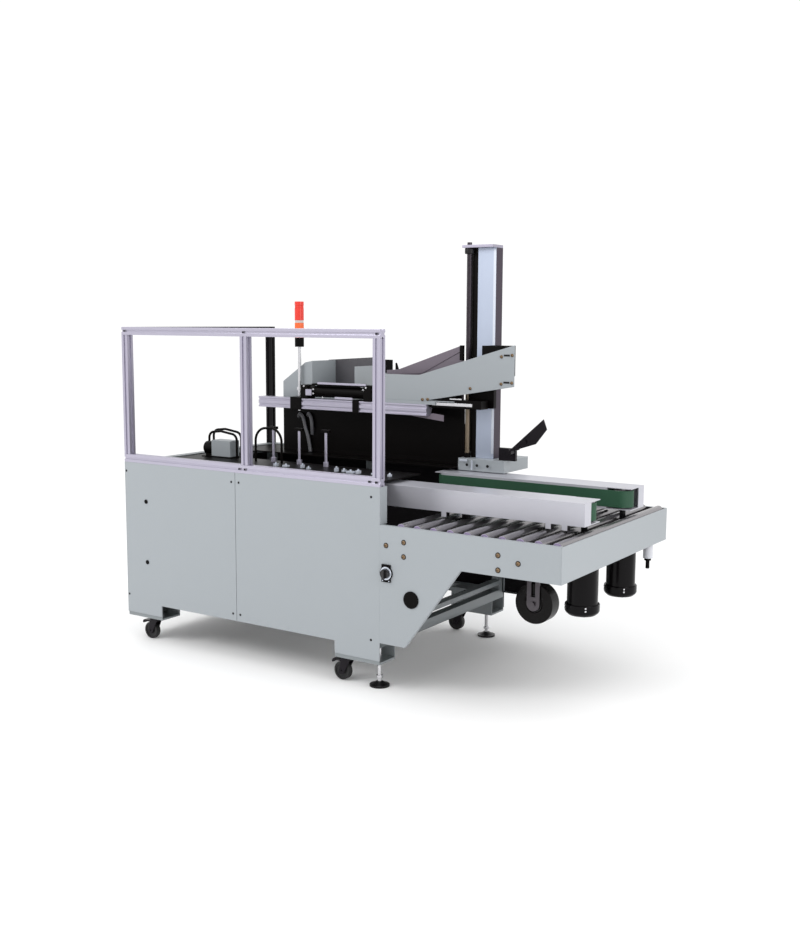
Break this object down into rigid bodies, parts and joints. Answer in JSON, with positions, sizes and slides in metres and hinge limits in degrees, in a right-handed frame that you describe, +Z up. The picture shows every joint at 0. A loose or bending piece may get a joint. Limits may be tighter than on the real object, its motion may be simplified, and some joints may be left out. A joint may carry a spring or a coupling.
{
  "type": "carton sealer machine",
  "caption": "Carton erecting and bottom-sealing machine: guarded cabinet on casters, lifting head on a mast, side belts over a roller outfeed with a tape head below.",
  "frame": {"origin": "on the floor, under the middle of the machine", "axes": "+X the way cartons travel, +Y away from the operator side, +Z up"},
  "size_m": [2.136, 1.0493, 1.767],
  "materials": {
    "frame_paint": "semi-gloss",
    "panel_paint": "satin powder coat",
    "black_paint": "satin",
    "aluminium": "anodised",
    "brushed_aluminium": "brushed",
    "zinc": "yellow zinc",
    "black_plastic": "moulded",
    "belt": "green belt cover",
    "tape": "wound tape edge",
    "chrome": "polished",
    "lens": "ribbed translucent",
    "dark_steel": "semi-gloss",
    "pump_paint": "satin",
    "hose": "smooth",
    "roller_steel": "turned",
    "wheel_rubber": "moulded tread"
  },
  "bodies": {
    "machine": {"base_frame": "frame_paint", "conveyor_end_plate": "panel_paint", "conveyor_side_far": "panel_paint", "conveyor_side_near": "panel_paint", "deck_plates": "black_paint", "end_guard": "black_paint", "far_panel": "panel_paint", "fasteners": "zinc", "guard_frame": "aluminium", "guide_rods": "chrome", "hoses": "hose", "left_end_panel": "panel_paint", "magazine_frame": "black_paint", "magazine_hood": "panel_paint", "mast_column": "aluminium", "near_left_panel": "panel_paint", "near_right_panel": "panel_paint", "panel_fittings": "black_plastic", "pneumatic_units": "pump_paint", "tape_head_frame": "zinc", "tower_lenses": "lens", "tower_pole": "chrome"},
    "near_drive": {"near_drive_housing": "brushed_aluminium", "near_side_belt": "belt", "near_belt_motor": "black_paint"},
    "far_drive": {"far_drive_housing": "brushed_aluminium", "far_side_belt": "belt", "far_belt_motor": "black_paint"},
    "near_pulley": {"near_drive_pulley": "zinc"},
    "far_pulley": {"far_drive_pulley": "zinc"},
    "lifting_head": {"head_carriage": "black_paint", "boom": "panel_paint", "head_beam": "aluminium", "head_cylinder": "black_paint"},
    "screw": {"lead_screw": "chrome"},
    "tape_reel": {"tape_roll": "tape"},
    "front_seal_arm": {"tape_front_arm": "zinc"},
    "rear_seal_arm": {"tape_rear_arm": "zinc"},
    "plow": {"flap_plow": "dark_steel"},
    "switch_knob": {"main_switch_knob": "black_plastic"},
    "near_foot": {"levelling_foot_near": "chrome"},
    "far_foot": {"levelling_foot_far": "chrome"},
    "roller_01_body": {"roller_01": "roller_steel"},
    "roller_02_body": {"roller_02": "roller_steel"},
    "roller_03_body": {"roller_03": "roller_steel"},
    "roller_04_body": {"roller_04": "roller_steel"},
    "roller_05_body": {"roller_05": "roller_steel"},
    "roller_06_body": {"roller_06": "roller_steel"},
    "roller_07_body": {"roller_07": "roller_steel"},
    "roller_08_body": {"roller_08": "roller_steel"},
    "roller_09_body": {"roller_09": "roller_steel"},
    "roller_10_body": {"roller_10": "roller_steel"},
    "swivel_left_near": {"caster_fork_left_near": "dark_steel"},
    "wheel_left_near": {"caster_wheel_left_near": "wheel_rubber"},
    "swivel_left_far": {"caster_fork_left_far": "dark_steel"},
    "wheel_left_far": {"caster_wheel_left_far": "wheel_rubber"},
    "swivel_right_near": {"caster_fork_right_near": "dark_steel"},
    "wheel_right_near": {"caster_wheel_right_near": "wheel_rubber"},
    "swivel_right_far": {"caster_fork_right_far": "dark_steel"},
    "wheel_right_far": {"caster_wheel_right_far": "wheel_rubber"}
  },
  "joints": [
    {"name": "near_drive_slide", "type": "slide", "parent": "machine", "child": "near_drive", "axis": [0, 1, 0], "range_m": [-0.11, 0.04]},
    {"name": "far_drive_slide", "type": "slide", "parent": "machine", "child": "far_drive", "axis": [0, 1, 0], "range_m": [-0.04, 0.11]},
    {"name": "near_pulley_spin", "type": "hinge", "parent": "near_drive", "child": "near_pulley", "pos_m": [1.003, -0.183, 0.74], "axis": [0, 0, 1], "continuous": true},
    {"name": "far_pulley_spin", "type": "hinge", "parent": "far_drive", "child": "far_pulley", "pos_m": [1.003, 0.183, 0.74], "axis": [0, 0, 1], "continuous": true},
    {"name": "head_lift", "type": "slide", "parent": "machine", "child": "lifting_head", "axis": [0, 0, 1], "range_m": [-0.13, 0.38]},
    {"name": "screw_turn", "type": "hinge", "parent": "machine", "child": "screw", "pos_m": [0.233, 0.282, 1.3], "axis": [0, 0, 1], "range_deg": [-2400, 6900]},
    {"name": "tape_reel_spin", "type": "hinge", "parent": "machine", "child": "tape_reel", "pos_m": [0.727, 0, 0.314], "axis": [0, 1, 0], "continuous": true},
    {"name": "front_seal_arm_tilt", "type": "hinge", "parent": "machine", "child": "front_seal_arm", "pos_m": [0.525, 0, 0.535], "axis": [0, 1, 0], "range_deg": [0, 25], "stiffness_Nm_per_rad": 25, "springref_deg": -17.19},
    {"name": "rear_seal_arm_tilt", "type": "hinge", "parent": "machine", "child": "rear_seal_arm", "pos_m": [0.833, 0, 0.535], "axis": [0, 1, 0], "range_deg": [-25, 0]},
    {"name": "plow_fold", "type": "hinge", "parent": "machine", "child": "plow", "pos_m": [0.464, 0.25, 0.878], "axis": [0, 1, 0], "range_deg": [0, 40]},
    {"name": "main_switch_turn", "type": "hinge", "parent": "machine", "child": "switch_knob", "pos_m": [0.34, -0.52, 0.478], "axis": [0, 1, 0], "range_deg": [0, 90]},
    {"name": "near_foot_screw", "type": "slide", "parent": "machine", "child": "near_foot", "axis": [0, 0, 1], "range_m": [-0.02, 0]},
    {"name": "far_foot_screw", "type": "slide", "parent": "machine", "child": "far_foot", "axis": [0, 0, 1], "range_m": [-0.02, 0]},
    {"name": "roller_01_spin", "type": "hinge", "parent": "machine", "child": "roller_01_body", "pos_m": [0.391, 0, 0.651], "axis": [0, 1, 0], "continuous": true},
    {"name": "roller_02_spin", "type": "hinge", "parent": "machine", "child": "roller_02_body", "pos_m": [0.463, 0, 0.651], "axis": [0, 1, 0], "continuous": true},
    {"name": "roller_03_spin", "type": "hinge", "parent": "machine", "child": "roller_03_body", "pos_m": [0.535, 0, 0.651], "axis": [0, 1, 0], "continuous": true},
    {"name": "roller_04_spin", "type": "hinge", "parent": "machine", "child": "roller_04_body", "pos_m": [0.607, 0, 0.651], "axis": [0, 1, 0], "continuous": true},
    {"name": "roller_05_spin", "type": "hinge", "parent": "machine", "child": "roller_05_body", "pos_m": [0.679, 0, 0.651], "axis": [0, 1, 0], "continuous": true},
    {"name": "roller_06_spin", "type": "hinge", "parent": "machine", "child": "roller_06_body", "pos_m": [0.751, 0, 0.651], "axis": [0, 1, 0], "continuous": true},
    {"name": "roller_07_spin", "type": "hinge", "parent": "machine", "child": "roller_07_body", "pos_m": [0.823, 0, 0.651], "axis": [0, 1, 0], "continuous": true},
    {"name": "roller_08_spin", "type": "hinge", "parent": "machine", "child": "roller_08_body", "pos_m": [0.895, 0, 0.651], "axis": [0, 1, 0], "continuous": true},
    {"name": "roller_09_spin", "type": "hinge", "parent": "machine", "child": "roller_09_body", "pos_m": [0.967, 0, 0.651], "axis": [0, 1, 0], "continuous": true},
    {"name": "roller_10_spin", "type": "hinge", "parent": "machine", "child": "roller_10_body", "pos_m": [1.039, 0, 0.651], "axis": [0, 1, 0], "continuous": true},
    {"name": "swivel_turn_left_near", "type": "hinge", "parent": "machine", "child": "swivel_left_near", "pos_m": [-0.953, -0.448, 0.1], "axis": [0, 0, 1], "continuous": true},
    {"name": "wheel_turn_left_near", "type": "hinge", "parent": "swivel_left_near", "child": "wheel_left_near", "pos_m": [-0.979, -0.448, 0.0375], "axis": [0, 1, 0], "continuous": true},
    {"name": "swivel_turn_left_far", "type": "hinge", "parent": "machine", "child": "swivel_left_far", "pos_m": [-0.953, 0.448, 0.1], "axis": [0, 0, 1], "continuous": true},
    {"name": "wheel_turn_left_far", "type": "hinge", "parent": "swivel_left_far", "child": "wheel_left_far", "pos_m": [-0.979, 0.448, 0.0375], "axis": [0, 1, 0], "continuous": true},
    {"name": "swivel_turn_right_near", "type": "hinge", "parent": "machine", "child": "swivel_right_near", "pos_m": [0.118, -0.448, 0.1], "axis": [0, 0, 1], "continuous": true},
    {"name": "wheel_turn_right_near", "type": "hinge", "parent": "swivel_right_near", "child": "wheel_right_near", "pos_m": [0.092, -0.448, 0.0395], "axis": [0, 1, 0], "continuous": true},
    {"name": "swivel_turn_right_far", "type": "hinge", "parent": "machine", "child": "swivel_right_far", "pos_m": [0.118, 0.448, 0.1], "axis": [0, 0, 1], "continuous": true},
    {"name": "wheel_turn_right_far", "type": "hinge", "parent": "swivel_right_far", "child": "wheel_right_far", "pos_m": [0.092, 0.448, 0.0395], "axis": [0, 1, 0], "continuous": true}
  ],
  "couplings": [
    {"joint": "far_drive_slide", "follows": "near_drive_slide", "ratio": -1},
    {"joint": "screw_turn", "follows": "head_lift", "rad_per_m": 314.16},
    {"joint": "rear_seal_arm_tilt", "follows": "front_seal_arm_tilt", "ratio": -1}
  ]
}
